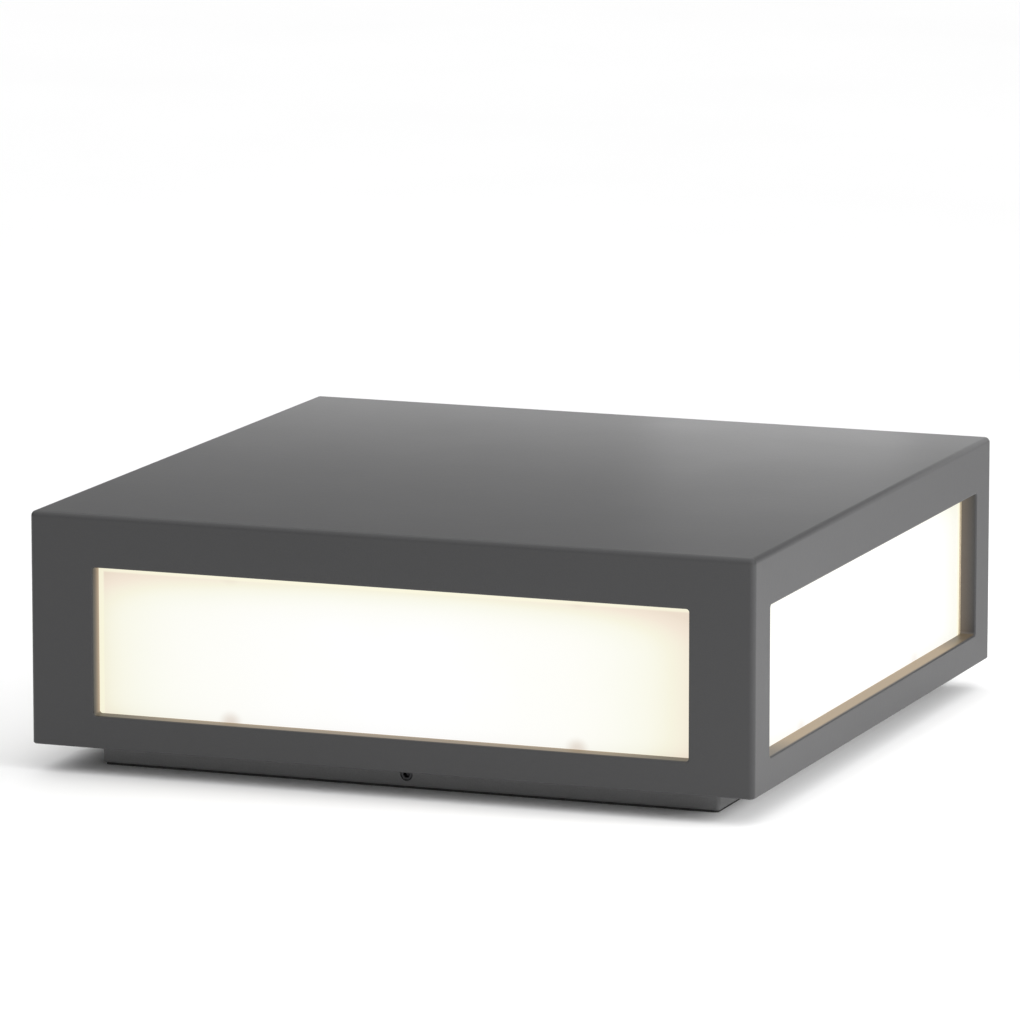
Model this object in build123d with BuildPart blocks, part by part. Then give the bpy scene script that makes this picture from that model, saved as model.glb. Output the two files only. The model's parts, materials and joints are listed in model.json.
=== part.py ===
from build123d import *

import os

# Low square bollard light: a lift-off hood with four opal windows on an inset plinth.
# Millimetres. The origin is the centre of the underside, +Z is up and the front is -Y.

# ---------------------------------------------------------------- driving dimensions
side = 300.0  # hood, square in plan
plinth_side = 258.0
plinth_corner = 1.5
plinth_top = 11.0  # where the hood sits on the plinth
total_height = 104.0

wall = 3.0
edge_radius = 2.2
corner_radius = 1.2  # corners of the window openings
opening_edge = 0.8  # rounding of the openings' outer edges
window_sill = 24.0
window_head = 83.0
front_window = 247.0  # width of the front and back openings
side_window = 262.0  # width of the left and right openings
reveal = 7.5  # from the outer face in to the diffuser
collar = 2.5  # thickness of the collar round each opening
window_seal = 1.0
diffuser = 3.0
diffuser_lap = 5.0  # how far a diffuser reaches behind the opening's edge

flange_opening = 234.0  # clear square in the hood's bottom flange
clip_offset = 73.0  # clips stand this far each side of a window's middle
clip_depth = 17.0  # clip screws stand this far in from the outer face
clip_sheet = 1.0
clip_width = 12.0
clip_lip = 3.5
clip_tail = 4.0  # how far a clip runs past its screw
seat_radius = 4.0  # bosses for M3 screws
lower_boss_top = 22.5
upper_boss_end = 84.5
clip_hole_depth = 7.0
reflector_sheet = 1.0
reflector_corner = 4.0
reflector_top = 97.0
reflector_side = 248.0
reflector_screw = 95.0

gasket = 1.0
floor = 2.0
plinth_wall = 5.0
boss_top = 6.0  # seats for the fittings on the plinth floor
seal_width = 2.6
seal_depth = 1.2
m4_seat_radius = 5.0
anchor_spacing = 180.0
anchor_radius = 3.3
anchor_access = 9.0

tray_side = 228.0
tray_top = 26.2
tray_sheet = 1.2
tray_skirt = 9.0
tray_corner = 3.0
standoff_x = 104.0
standoff_y = 70.0
standoff_width = 7.0
standoff_stud = 8.0

board_width = 14.0
board_thickness = 1.6
board_offset = 70.0  # from the middle of the light to a board's centreline
long_board = 160.0
short_board = 110.0
long_screw_pitch = 89.6
short_screw_pitch = 52.0
long_chip_count = 10
short_chip_count = 8
long_chip_pitch = 15.0
short_chip_pitch = 13.0
chip_width = 2.8
chip_length = 3.5
chip_height = 0.8

lock_height = 5.6  # axis of the lock screws
lock_thread = 5.0
lock_length = 6.0
lock_point = 0.9
lock_recess = 0.2  # the screw's end stands this far in from the plinth's face
block_width = 24.0
block_bottom = 3.6
block_outer = 122.5
block_inner = 118.0
block_screw = 8.0

driver_y = 45.0
driver_length = 110.0
driver_width = 40.0
driver_height = 16.0
driver_cap = 8.0
driver_ear = 10.0
driver_ear_width = 12.0
driver_ear_sheet = 2.0
driver_rib_pitch = 24.0
driver_rib_height = 0.6
wire_height = 14.0  # height of the wires where they enter the driver

terminal_x = 30.0
terminal_y = -30.0
terminal_length = 20.0
terminal_pitch = 12.0
terminal_height = 14.0
terminal_pole = 8.4  # width of one pole
terminal_web = 7.0  # height of the low web between the poles
terminal_bore = 11.0  # height of the wire holes
terminal_seat = 3.0  # counterbore for a mounting screw's head
clamp_step = 5.0  # each pole's two screws stand this far from its middle
well_radius = 2.3
barrel_radius = 3.0
barrel_bore = 1.7
barrel_length = 18.0

cable_x = -60.0
cable_y = -30.0
cable_radius = 4.0
entry_radius = 7.0  # hole in the plinth floor for the cable grommet
grommet_lip = 9.0
grommet_flange = 9.5
grommet_nose = 12.0
clamp_x = -30.0
clamp_screw = 11.0
clamp_top = 10.5
clamp_bar = 2.0
clamp_width = 9.0

earth_x = 62.0
earth_y = 5.0
grommet_x = -88.0
feed_height = 30.0
core_radius = 1.2
core_gap = 10.0
lead_radius = 0.8
lead_gap = 4.0
link_radius = 0.6
link_length = 14.0
link_gap = 5.0
ring_sheet = 0.8
ring_radius = 4.2
ring_neck = 3.4
crimp_radius = 2.0
crimp_length = 6.0

m3 = 3.0
m4 = 4.0
thread_gap = 0.05  # radial gap between a screw and its threaded hole
m3_tapped = m3 / 2 + thread_gap
m3_clear = m3 / 2 + 0.2
m4_tapped = m4 / 2 + thread_gap
m4_clear = m4 / 2 + 0.2

# ---------------------------------------------------------------- worked-out dimensions
window_height = window_head - window_sill
window_middle = (window_head + window_sill) / 2
flange_top = plinth_top + wall
roof_under = total_height - wall
floor_top = gasket + floor
tray_under = tray_top - tray_sheet
board_top = tray_top + board_thickness
clip_radius = side / 2 - clip_depth
diffuser_back = side / 2 - reveal - diffuser
block_middle = (block_outer + block_inner) / 2
driver_screw_x = driver_length / 2 + driver_cap + driver_ear / 2
driver_end = driver_length / 2 + driver_cap
driver_top = boss_top + driver_height
seal_middle = plinth_side - plinth_wall  # centreline of the seal groove
terminal_deck = boss_top + terminal_web
pole_y = [terminal_y - terminal_pitch, terminal_y, terminal_y + terminal_pitch]
crimp_start = earth_y - 6.0
crimp_height = boss_top + crimp_radius
window_width = {"front": front_window, "right": side_window, "back": front_window, "left": side_window}
heading = {"front": -90, "right": 0, "back": 90, "left": 180}
standing = (Align.CENTER, Align.CENTER, Align.MIN)
hanging = (Align.CENTER, Align.CENTER, Align.MAX)

os.makedirs("parts", exist_ok=True)


def save(piece, name):
    """Label a finished piece and write its STEP file."""
    piece.part.label = name
    export_step(piece.part, f"parts/{name}.step")


def face_plane(name, depth):
    """A plane on one side of the hood, facing out, at mid-window height and `depth` in from the face."""
    outward = Vector(1, 0, 0).rotate(Axis.Z, heading[name])
    middle = outward * (side / 2 - depth) + Vector(0, 0, window_middle)
    return Plane(origin=middle, x_dir=Vector(0, 0, 1).cross(outward), z_dir=outward)


def clip_pair(level):
    """The places of the two clips at the front, at this height."""
    return Locations((clip_offset, -clip_radius, level), (-clip_offset, -clip_radius, level))


def pan_screw(thread, length):
    """A pan-head screw with a cross recess: its seat is at the origin and its head is up."""
    head_height = 0.75 * thread
    with BuildPart() as screw:
        with BuildSketch():
            Circle(thread / 2)
        extrude(amount=-length)
        chamfer(screw.edges().group_by(Axis.Z)[0], 0.12 * thread)
        with BuildSketch():
            Circle(0.92 * thread)
        extrude(amount=head_height)
        fillet(screw.edges().group_by(Axis.Z)[-1], 0.4 * thread)
        with BuildSketch(Plane.XY.offset(head_height)):
            Rectangle(0.9 * thread, 0.2 * thread)
            Rectangle(0.2 * thread, 0.9 * thread)
        extrude(amount=-0.4 * thread, mode=Mode.SUBTRACT)
    return screw.part


def tube(points, radii, radius):
    """A round wire along straight runs joined by tangent arcs."""
    with BuildPart() as wire:
        with BuildLine() as route:
            FilletPolyline(*points, radius=radii)
        with BuildSketch(Plane(origin=route.line @ 0, z_dir=route.line % 0)):
            Circle(radius)
        sweep()
    return wire


# ---------------------------------------------------------------- hood: cast housing
with BuildPart() as housing:
    with BuildSketch(Plane.XY.offset(plinth_top)):
        Rectangle(side, side)
    extrude(amount=total_height - plinth_top)
    fillet(housing.edges().filter_by(Axis.Z), edge_radius)
    fillet(housing.edges().group_by(Axis.Z)[-1], edge_radius)
    chamfer(housing.edges().group_by(Axis.Z)[0], 0.5)
    with BuildSketch(Plane.XY.offset(flange_top)):
        Rectangle(side - 2 * wall, side - 2 * wall)
    extrude(amount=roof_under - flange_top, mode=Mode.SUBTRACT)
    with BuildSketch(Plane.XY.offset(plinth_top)):
        RectangleRounded(flange_opening, flange_opening, edge_radius)
    extrude(amount=wall, mode=Mode.SUBTRACT)
    # Each opening has a collar that runs in from the wall and carries the window seal.
    for name, width in window_width.items():
        with BuildSketch(face_plane(name, reveal - window_seal)):
            Rectangle(width + 2 * collar, window_height + 2 * collar)
        extrude(amount=reveal - window_seal - wall)
        with BuildSketch(face_plane(name, reveal)):
            RectangleRounded(width, window_height, corner_radius)
        extrude(amount=reveal, mode=Mode.SUBTRACT)
        outer_face = housing.faces().sort_by(Axis((0, 0, 0), face_plane(name, 0).z_dir))[-1]
        fillet(outer_face.inner_wires()[0].edges(), opening_edge)
    # Seats for the diffuser clips, on the flange and under the roof.
    with PolarLocations(0, 4):
        with clip_pair(flange_top):
            Cylinder(seat_radius, lower_boss_top - flange_top, align=standing)
        with clip_pair(roof_under):
            Cylinder(seat_radius, roof_under - upper_boss_end, align=hanging)
        with clip_pair(lower_boss_top):
            Cylinder(m3_tapped, clip_hole_depth, align=hanging, mode=Mode.SUBTRACT)
        with clip_pair(upper_boss_end):
            Cylinder(m3_tapped, clip_hole_depth, align=standing, mode=Mode.SUBTRACT)
    # Seats for the roof reflector.
    with BuildSketch(Plane.XY.offset(roof_under)):
        with GridLocations(2 * reflector_screw, 2 * reflector_screw, 2, 2):
            Circle(seat_radius)
            Circle(m3_tapped, mode=Mode.SUBTRACT)
    extrude(amount=reflector_top - roof_under)
    # Clearance holes for the screws of the two lock blocks.
    with Locations(Plane.XY.offset(flange_top)):
        with GridLocations(2 * block_screw, 2 * block_middle, 2, 2):
            Hole(m3_clear, depth=wall)
save(housing, "housing")

# ---------------------------------------------------------------- hood: windows
for name, width in window_width.items():
    with BuildPart() as panel:
        with BuildSketch(face_plane(name, reveal)):
            RectangleRounded(width + 2 * diffuser_lap, window_height + 2 * diffuser_lap, 1.5)
        extrude(amount=-diffuser)
    save(panel, f"diffuser_{name}")

    with BuildPart() as seal:
        with BuildSketch(face_plane(name, reveal)):
            RectangleRounded(width + 2 * diffuser_lap, window_height + 2 * diffuser_lap, 1.5)
            RectangleRounded(width + 1.0, window_height + 1.0, corner_radius, mode=Mode.SUBTRACT)
        extrude(amount=window_seal)
    save(seal, f"window_seal_{name}")

# ---------------------------------------------------------------- hood: diffuser clips
# A clip is a flat strip on its boss whose end is turned over against the back of a diffuser.
clip_reach = diffuser_back - clip_radius

with BuildPart() as clip:
    with BuildSketch(Plane.YZ):
        with BuildLine():
            Polyline(
                (clip_tail, 0),
                (clip_sheet - clip_reach, 0),
                (clip_sheet - clip_reach, -clip_lip),
                (-clip_reach, -clip_lip),
                (-clip_reach, clip_sheet),
                (clip_tail, clip_sheet),
                close=True,
            )
        make_face()
    extrude(amount=clip_width / 2, both=True)
    with Locations((0, 0, clip_sheet)):
        Hole(m3_clear, depth=clip_sheet)

with BuildPart() as lower_clips:
    with PolarLocations(0, 4):
        with clip_pair(lower_boss_top):
            add(clip.part)
save(lower_clips, "lower_clips")

upside_down = mirror(clip.part, about=Plane.XY, mode=Mode.PRIVATE)
with BuildPart() as upper_clips:
    with PolarLocations(0, 4):
        with clip_pair(upper_boss_end):
            add(upside_down)
save(upper_clips, "upper_clips")

clip_screw = pan_screw(m3, 6.0)
with BuildPart() as lower_clip_screws:
    with PolarLocations(0, 4):
        with clip_pair(lower_boss_top + clip_sheet):
            add(clip_screw)
save(lower_clip_screws, "lower_clip_screws")

hanging_screw = mirror(clip_screw, about=Plane.XY, mode=Mode.PRIVATE)
with BuildPart() as upper_clip_screws:
    with PolarLocations(0, 4):
        with clip_pair(upper_boss_end - clip_sheet):
            add(hanging_screw)
save(upper_clip_screws, "upper_clip_screws")

# ---------------------------------------------------------------- hood: roof reflector
with BuildPart() as roof_reflector:
    with BuildSketch(Plane.XY.offset(reflector_top)):
        RectangleRounded(reflector_side, reflector_side, reflector_corner)
        with GridLocations(2 * reflector_screw, 2 * reflector_screw, 2, 2):
            Circle(m3_clear, mode=Mode.SUBTRACT)
    extrude(amount=-reflector_sheet)
save(roof_reflector, "roof_reflector")

short_hanging_screw = mirror(pan_screw(m3, 4.5), about=Plane.XY, mode=Mode.PRIVATE)
with BuildPart() as reflector_screws:
    with Locations(Plane.XY.offset(reflector_top - reflector_sheet)):
        with GridLocations(2 * reflector_screw, 2 * reflector_screw, 2, 2):
            add(short_hanging_screw)
save(reflector_screws, "reflector_screws")

# ---------------------------------------------------------------- hood: lock blocks
# One block hangs from the flange just inside the front plinth wall, and one inside the back wall.
with BuildPart() as lock_blocks:
    with BuildSketch(Plane.XY.offset(block_bottom)):
        with GridLocations(0, 2 * block_middle, 1, 2):
            Rectangle(block_width, block_outer - block_inner)
    extrude(amount=plinth_top - block_bottom)
    with Locations(Plane.XY.offset(plinth_top)):
        with GridLocations(2 * block_screw, 2 * block_middle, 2, 2):
            Hole(m3_tapped, depth=6.0)
    # A dimple for each lock screw's point.
    for facing in (-1, 1):
        with BuildSketch(Plane(origin=(0, facing * block_outer, lock_height), z_dir=(0, facing, 0))):
            Circle(2 * lock_point)
        extrude(amount=-lock_point, mode=Mode.SUBTRACT, taper=30)
save(lock_blocks, "lock_blocks")

with BuildPart() as lock_block_screws:
    with Locations(Plane.XY.offset(flange_top)):
        with GridLocations(2 * block_screw, 2 * block_middle, 2, 2):
            add(pan_screw(m3, 8.0))
save(lock_block_screws, "lock_block_screws")

# ---------------------------------------------------------------- lock screws
# Hexagon socket set screws through the plinth's front and back walls.
with BuildPart() as lock_screw:
    with BuildSketch():
        Circle(lock_thread / 2)
    extrude(amount=-lock_length)
    chamfer(lock_screw.edges().group_by(Axis.Z)[0], lock_point)
    chamfer(lock_screw.edges().group_by(Axis.Z)[-1], 0.3)
    with BuildSketch():
        RegularPolygon(radius=lock_thread / 4, side_count=6, major_radius=False)
    extrude(amount=-lock_length / 2, mode=Mode.SUBTRACT)

for name, facing in (("front", -1), ("back", 1)):
    mouth = Plane(origin=(0, facing * (plinth_side / 2 - lock_recess), lock_height), z_dir=(0, facing, 0))
    with BuildPart() as placed_screw:
        with Locations(mouth):
            add(lock_screw.part)
    save(placed_screw, f"lock_screw_{name}")

# ---------------------------------------------------------------- base: plinth tray
m4_seats = [
    (driver_screw_x, driver_y),
    (-driver_screw_x, driver_y),
    (earth_x, earth_y),
    (standoff_x, standoff_y),
    (standoff_x, -standoff_y),
    (-standoff_x, standoff_y),
    (-standoff_x, -standoff_y),
]
terminal_seats = [
    (terminal_x, terminal_y - terminal_pitch / 2),
    (terminal_x, terminal_y + terminal_pitch / 2),
]
clamp_seats = [(clamp_x, cable_y - clamp_screw), (clamp_x, cable_y + clamp_screw)]

with BuildPart() as base_plate:
    with BuildSketch(Plane.XY.offset(gasket)):
        RectangleRounded(plinth_side, plinth_side, plinth_corner)
    extrude(amount=plinth_top - gasket)
    chamfer(base_plate.edges().group_by(Axis.Z)[0], 0.4)
    with BuildSketch(Plane.XY.offset(floor_top)):
        RectangleRounded(plinth_side - 2 * plinth_wall, plinth_side - 2 * plinth_wall, plinth_corner)
    extrude(amount=plinth_top - floor_top, mode=Mode.SUBTRACT)
    with BuildSketch(Plane.XY.offset(plinth_top)):
        Rectangle(seal_middle + seal_width, seal_middle + seal_width)
        Rectangle(seal_middle - seal_width, seal_middle - seal_width, mode=Mode.SUBTRACT)
    extrude(amount=-seal_depth, mode=Mode.SUBTRACT)
    # Seats for the fittings, with blind threaded holes.
    with BuildSketch(Plane.XY.offset(floor_top)):
        with Locations(*m4_seats, *terminal_seats):
            Circle(m4_seat_radius)
        with Locations((cable_x, cable_y)):
            Circle(entry_radius + seat_radius)
    extrude(amount=boss_top - floor_top)
    with BuildSketch(Plane.XY.offset(floor_top)):
        with Locations(*clamp_seats):
            Circle(clamp_width / 2)
    extrude(amount=clamp_top - floor_top)
    with BuildSketch(Plane.XY.offset(boss_top)):
        with Locations(*m4_seats):
            Circle(m4_tapped)
        with Locations(*terminal_seats):
            Circle(m3_tapped)
    extrude(amount=gasket + 1.0 - boss_top, mode=Mode.SUBTRACT)
    with BuildSketch(Plane.XY.offset(clamp_top)):
        with Locations(*clamp_seats):
            Circle(m3_tapped)
    extrude(amount=-7.0, mode=Mode.SUBTRACT)
    # Anchor holes and the cable hole go right through.
    with BuildSketch(Plane.XY.offset(gasket)):
        with GridLocations(anchor_spacing, anchor_spacing, 2, 2):
            Circle(anchor_radius)
        with Locations((cable_x, cable_y)):
            Circle(entry_radius)
    extrude(amount=boss_top, mode=Mode.SUBTRACT)
    # Threaded holes for the lock screws.
    with BuildSketch(Plane.XZ.offset(-plinth_side / 2)):
        with Locations((0, lock_height)):
            Circle(lock_thread / 2 + thread_gap)
    extrude(amount=plinth_side, mode=Mode.SUBTRACT)
save(base_plate, "base_plate")

with BuildPart() as foot_gasket:
    with BuildSketch():
        RectangleRounded(plinth_side - 2.0, plinth_side - 2.0, plinth_corner)
        with GridLocations(anchor_spacing, anchor_spacing, 2, 2):
            Circle(anchor_radius + 1.0, mode=Mode.SUBTRACT)
        with Locations((cable_x, cable_y)):
            Circle(grommet_lip + 1.0, mode=Mode.SUBTRACT)
    extrude(amount=gasket)
save(foot_gasket, "foot_gasket")

with BuildPart() as base_seal:
    with BuildSketch(Plane.XY.offset(plinth_top)):
        Rectangle(seal_middle + seal_width, seal_middle + seal_width)
        Rectangle(seal_middle - seal_width, seal_middle - seal_width, mode=Mode.SUBTRACT)
    extrude(amount=-seal_depth)
save(base_seal, "base_seal")

# ---------------------------------------------------------------- base: cable entry
with BuildPart() as cable_grommet:
    with BuildSketch(Plane.XZ):
        with BuildLine():
            Polyline(
                (cable_radius, 0.2),
                (grommet_lip, 0.2),
                (grommet_lip, gasket),
                (entry_radius, gasket),
                (entry_radius, boss_top),
                (grommet_flange, boss_top),
                (grommet_flange, boss_top + 1.8),
                (cable_radius + 2.0, grommet_nose),
                (cable_radius, grommet_nose),
                close=True,
            )
        make_face()
    revolve(axis=Axis.Z)
with BuildPart() as placed_grommet:
    with Locations((cable_x, cable_y, 0)):
        add(cable_grommet.part)
save(placed_grommet, "cable_grommet")

with BuildPart() as cord_clamp:
    with BuildSketch(Plane.XY.offset(clamp_top)):
        with Locations((clamp_x, cable_y)):
            SlotOverall(2 * clamp_screw + clamp_width, clamp_width, rotation=90)
        with Locations(*clamp_seats):
            Circle(m3_clear, mode=Mode.SUBTRACT)
    extrude(amount=clamp_bar)
save(cord_clamp, "cord_clamp")

with BuildPart() as cord_clamp_screws:
    with Locations(Plane.XY.offset(clamp_top + clamp_bar)):
        with Locations(*clamp_seats):
            add(pan_screw(m3, 8.0))
save(cord_clamp_screws, "cord_clamp_screws")

# ---------------------------------------------------------------- base: gear tray
with BuildPart() as standoffs:
    with BuildSketch(Plane.XY.offset(boss_top)):
        with GridLocations(2 * standoff_x, 2 * standoff_y, 2, 2):
            RegularPolygon(radius=standoff_width / 2, side_count=6, major_radius=False)
            Circle(m3_tapped, mode=Mode.SUBTRACT)
    extrude(amount=tray_under - boss_top)
    # A stud in the bottom of each, which also closes the lower part of its threaded hole.
    with BuildSketch(Plane.XY.offset(floor_top)):
        with GridLocations(2 * standoff_x, 2 * standoff_y, 2, 2):
            Circle(m4 / 2)
    extrude(amount=boss_top - floor_top + standoff_stud)
save(standoffs, "standoffs")

ring_bore = 3.2  # the rubber ring that lines the hole where the leads come up
ring_groove = 4.5
ring_outer = 5.8
ring_lip = 1.2
with BuildPart() as gear_tray:
    with BuildSketch(Plane.XY.offset(tray_top)):
        RectangleRounded(tray_side, tray_side, tray_corner)
    extrude(amount=-tray_skirt)
    fillet(gear_tray.edges().group_by(Axis.Z)[-1], 1.0)
    with BuildSketch(Plane.XY.offset(tray_under)):
        RectangleRounded(tray_side - 2 * tray_sheet, tray_side - 2 * tray_sheet, tray_corner - tray_sheet)
    extrude(amount=-tray_skirt, mode=Mode.SUBTRACT)
    with BuildSketch(Plane.XY.offset(tray_top)):
        with GridLocations(anchor_spacing, anchor_spacing, 2, 2):
            Circle(anchor_access)
        with GridLocations(2 * standoff_x, 2 * standoff_y, 2, 2):
            Circle(m3_clear)
        with Locations((grommet_x, driver_y)):
            Circle(ring_groove)
        with GridLocations(long_screw_pitch, 2 * board_offset, 2, 2):
            Circle(m3_tapped)
        with GridLocations(2 * board_offset, short_screw_pitch, 2, 2):
            Circle(m3_tapped)
    extrude(amount=-tray_sheet, mode=Mode.SUBTRACT)
save(gear_tray, "gear_tray")

with BuildPart() as tray_screws:
    with Locations(Plane.XY.offset(tray_top)):
        with GridLocations(2 * standoff_x, 2 * standoff_y, 2, 2):
            add(pan_screw(m3, 8.0))
save(tray_screws, "tray_screws")

with BuildPart() as tray_grommet:
    with BuildSketch(Plane.XZ):
        with BuildLine():
            Polyline(
                (ring_bore, tray_under - ring_lip),
                (ring_outer, tray_under - ring_lip),
                (ring_outer, tray_under),
                (ring_groove, tray_under),
                (ring_groove, tray_top),
                (ring_outer, tray_top),
                (ring_outer, tray_top + ring_lip),
                (ring_bore, tray_top + ring_lip),
                close=True,
            )
        make_face()
    revolve(axis=Axis.Z)
with BuildPart() as placed_ring:
    with Locations((grommet_x, driver_y, 0)):
        add(tray_grommet.part)
save(placed_ring, "tray_grommet")

# ---------------------------------------------------------------- base: lamp boards
for name, turn in heading.items():
    long_side = name in ("front", "back")
    length = long_board if long_side else short_board
    screw_pitch = long_screw_pitch if long_side else short_screw_pitch
    with BuildPart() as board:
        with BuildSketch(Plane.XY.offset(tray_top)):
            with PolarLocations(board_offset, 1, start_angle=turn):
                RectangleRounded(board_width, length, 1.0)
                with GridLocations(0, screw_pitch, 1, 2):
                    Circle(m3_clear, mode=Mode.SUBTRACT)
        extrude(amount=board_thickness)
    save(board, f"led_board_{name}")

with BuildPart() as led_chips:
    with BuildSketch(Plane.XY.offset(board_top)):
        for facing in (-1, 1):
            with Locations((0, facing * board_offset)):
                with GridLocations(long_chip_pitch, 0, long_chip_count, 1):
                    Rectangle(chip_length, chip_width)
            with Locations((facing * board_offset, 0)):
                with GridLocations(0, short_chip_pitch, 1, short_chip_count):
                    Rectangle(chip_width, chip_length)
    extrude(amount=chip_height)
save(led_chips, "led_chips")

with BuildPart() as led_board_screws:
    with Locations(Plane.XY.offset(board_top)):
        with GridLocations(long_screw_pitch, 2 * board_offset, 2, 2):
            add(pan_screw(m3, 4.5))
        with GridLocations(2 * board_offset, short_screw_pitch, 2, 2):
            add(pan_screw(m3, 4.5))
save(led_board_screws, "led_board_screws")

# The plug on the left board that takes the two leads, with a hole for each.
plug_depth = 4.0
plug_face = -board_offset - board_width / 2 + 0.2
with BuildPart() as led_connector:
    with BuildSketch(Plane.XY.offset(board_top)):
        with Locations((plug_face + plug_depth / 2, driver_y)):
            Rectangle(plug_depth, 10.0)
    extrude(amount=4.4)
    fillet(led_connector.edges().filter_by(Axis.Z), 0.4)
    with BuildSketch(Plane(origin=(plug_face, driver_y, feed_height), x_dir=(0, 1, 0), z_dir=(-1, 0, 0))):
        with Locations((lead_gap / 2, 0), (-lead_gap / 2, 0)):
            Circle(lead_radius + thread_gap)
    extrude(amount=-2.0, mode=Mode.SUBTRACT)
save(led_connector, "led_connector")

# Bare links that bridge the gap between neighbouring boards at three of the four corners.
link_corners = [(board_offset, -1), (-board_offset, -1), (board_offset, 1)]
link_y = (board_offset - board_width / 2 + short_board / 2) / 2
with BuildPart() as board_links:
    for x, facing in link_corners:
        start = (x, facing * link_y - link_length / 2, board_top + link_radius)
        with BuildSketch(Plane(origin=start, x_dir=(1, 0, 0), z_dir=(0, 1, 0))):
            with GridLocations(link_gap, 0, 2, 1):
                Circle(link_radius)
        extrude(amount=link_length)
save(board_links, "board_links")

# ---------------------------------------------------------------- base: driver
with BuildPart() as driver_case:
    with BuildSketch(Plane.XY.offset(boss_top)):
        with Locations((0, driver_y)):
            Rectangle(driver_length, driver_width)
    extrude(amount=driver_height)
    fillet(driver_case.edges().filter_by(Axis.X), 1.5)
    # A raised rib along each side of the lid.
    with BuildSketch(Plane.XY.offset(driver_top)):
        with Locations((0, driver_y)):
            with GridLocations(0, driver_rib_pitch, 1, 2):
                SlotOverall(driver_length - 20.0, 2.0)
    extrude(amount=driver_rib_height)
save(driver_case, "driver_case")

# The end caps carry the fixing ears and the holes for the wires.
with BuildPart() as driver_end_caps:
    for facing in (-1, 1):
        with BuildSketch(Plane.XY.offset(boss_top)):
            with Locations((facing * (driver_length + driver_cap) / 2, driver_y)):
                Rectangle(driver_cap, driver_width)
        extrude(amount=driver_height)
        with BuildSketch(Plane.XY.offset(boss_top)):
            with Locations((facing * driver_screw_x, driver_y)):
                Rectangle(driver_ear, driver_ear_width)
                Circle(m4_clear, mode=Mode.SUBTRACT)
        extrude(amount=driver_ear_sheet)
        cap_face = (facing * driver_end, driver_y, wire_height)
        with BuildSketch(Plane(origin=cap_face, x_dir=(0, 1, 0), z_dir=(facing, 0, 0))):
            gap = core_gap if facing > 0 else lead_gap
            radius = core_radius if facing > 0 else lead_radius
            with Locations((gap / 2, 0), (-gap / 2, 0)):
                Circle(radius + thread_gap)
        extrude(amount=-3.0, mode=Mode.SUBTRACT)
save(driver_end_caps, "driver_end_caps")

with BuildPart() as driver_screws:
    with Locations((0, driver_y, boss_top + driver_ear_sheet)):
        with GridLocations(2 * driver_screw_x, 0, 2, 1):
            add(pan_screw(m4, 5.5))
save(driver_screws, "driver_screws")

# ---------------------------------------------------------------- base: terminal block
with BuildPart() as terminal_block:
    with BuildSketch(Plane.XY.offset(boss_top)):
        with Locations((terminal_x, terminal_y)):
            Rectangle(terminal_length, 3 * terminal_pitch)
    extrude(amount=terminal_deck - boss_top)
    with BuildSketch(Plane.XY.offset(boss_top)):
        with Locations(*[(terminal_x, y) for y in pole_y]):
            Rectangle(terminal_length, terminal_pole)
    extrude(amount=terminal_height)
    fillet(terminal_block.edges().filter_by(Axis.X).group_by(Axis.Z)[-1], 1.0)
    with BuildSketch(Plane.YZ.offset(terminal_x - terminal_length / 2)):
        with Locations(*[(y, terminal_bore) for y in pole_y]):
            Circle(barrel_radius + thread_gap)
    extrude(amount=terminal_length, mode=Mode.SUBTRACT)
    with BuildSketch(Plane.XY.offset(terminal_bore)):
        for y in pole_y:
            with Locations((terminal_x - clamp_step, y), (terminal_x + clamp_step, y)):
                Circle(well_radius)
    extrude(amount=terminal_height, mode=Mode.SUBTRACT)
    with BuildSketch(Plane.XY.offset(terminal_deck)):
        with Locations(*terminal_seats):
            Circle(terminal_seat)
    extrude(amount=terminal_height, mode=Mode.SUBTRACT)
    with BuildSketch(Plane.XY.offset(boss_top)):
        with Locations(*terminal_seats):
            Circle(m3_clear)
    extrude(amount=terminal_height, mode=Mode.SUBTRACT)
save(terminal_block, "terminal_block")

with BuildPart() as terminal_barrels:
    with BuildSketch(Plane.YZ.offset(terminal_x - barrel_length / 2)):
        with Locations(*[(y, terminal_bore) for y in pole_y]):
            Circle(barrel_radius)
            Circle(barrel_bore, mode=Mode.SUBTRACT)
    extrude(amount=barrel_length)
    with BuildSketch(Plane.XY.offset(terminal_bore)):
        for y in pole_y:
            with Locations((terminal_x - clamp_step, y), (terminal_x + clamp_step, y)):
                Circle(m3_tapped)
    extrude(amount=barrel_radius + 1.0, mode=Mode.SUBTRACT)
save(terminal_barrels, "terminal_barrels")

# A slotted grub screw, with its point on the wire.
grub_neck = 2.0
grub_top = 4.4
with BuildPart() as clamping_screw:
    with BuildSketch():
        Circle(m3 / 2)
    extrude(amount=grub_neck)
    with BuildSketch(Plane.XY.offset(grub_neck)):
        Circle(well_radius - 0.2)
    extrude(amount=grub_top - grub_neck)
    with BuildSketch(Plane.XY.offset(grub_top)):
        Rectangle(2 * well_radius, 0.7)
    extrude(amount=-1.2, mode=Mode.SUBTRACT)
with BuildPart() as terminal_screws:
    for y in pole_y:
        level = terminal_bore + barrel_bore
        with Locations((terminal_x - clamp_step, y, level), (terminal_x + clamp_step, y, level)):
            add(clamping_screw.part)
save(terminal_screws, "terminal_screws")

with BuildPart() as terminal_mount_screws:
    with Locations(Plane.XY.offset(terminal_deck)):
        with Locations(*terminal_seats):
            add(pan_screw(m3, 9.0))
save(terminal_mount_screws, "terminal_mount_screws")

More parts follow.
